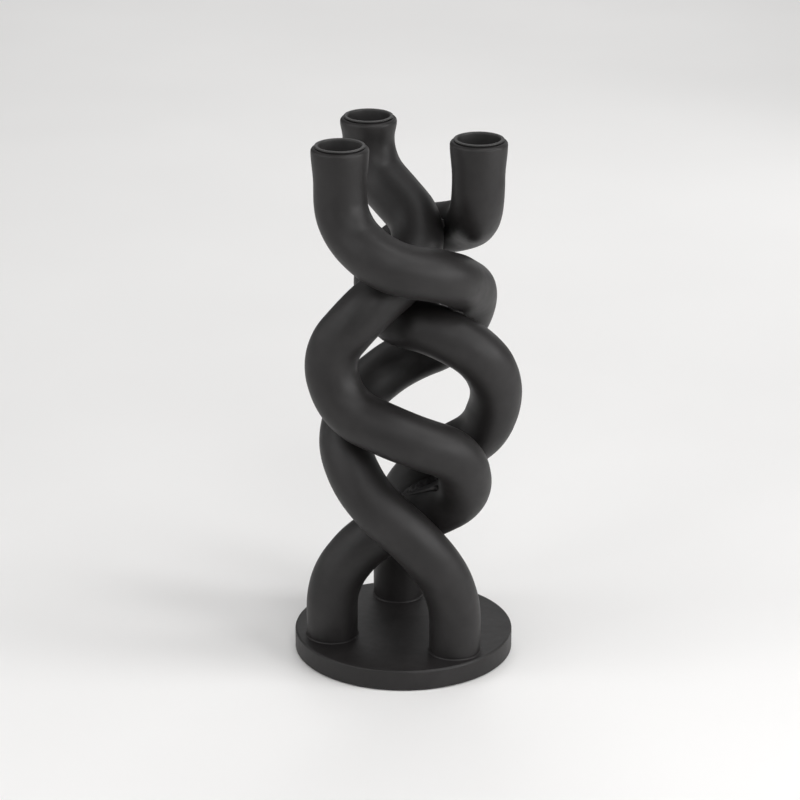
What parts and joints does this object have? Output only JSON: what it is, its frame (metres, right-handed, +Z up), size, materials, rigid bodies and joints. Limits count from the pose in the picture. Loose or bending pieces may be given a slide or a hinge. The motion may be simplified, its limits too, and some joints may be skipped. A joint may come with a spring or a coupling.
{
  "type": "spiral candle holder",
  "caption": "Candle holder of intertwined bent bars that rise from a round base, each ending in a lift-out cup for a dinner candle.",
  "frame": {"origin": "on the table, under the middle of the round base", "axes": "+Z up, -Y towards the viewer of the picture, +X to the viewer's right"},
  "size_m": [0.1238, 0.12, 0.2962],
  "materials": {
    "base": "matte black",
    "strand": "matte black",
    "cup": "matte black",
    "screw": "zinc plated",
    "felt": "felt"
  },
  "bodies": {
    "holder": {"base_disc": "base", "left_strand": "strand", "right_strand": "strand", "back_strand": "strand", "foot_screws": "screw", "felt_pad": "felt"},
    "left_cup": {"left_candle_cup": "cup"},
    "right_cup": {"right_candle_cup": "cup"},
    "back_cup": {"back_candle_cup": "cup"}
  },
  "joints": [
    {"name": "left_cup_lift", "type": "slide", "parent": "holder", "child": "left_cup", "axis": [0, 0, 1], "range_m": [0, 0.03]},
    {"name": "right_cup_lift", "type": "slide", "parent": "holder", "child": "right_cup", "axis": [0, 0, 1], "range_m": [0, 0.03]},
    {"name": "back_cup_lift", "type": "slide", "parent": "holder", "child": "back_cup", "axis": [0, 0, 1], "range_m": [0, 0.03]}
  ]
}
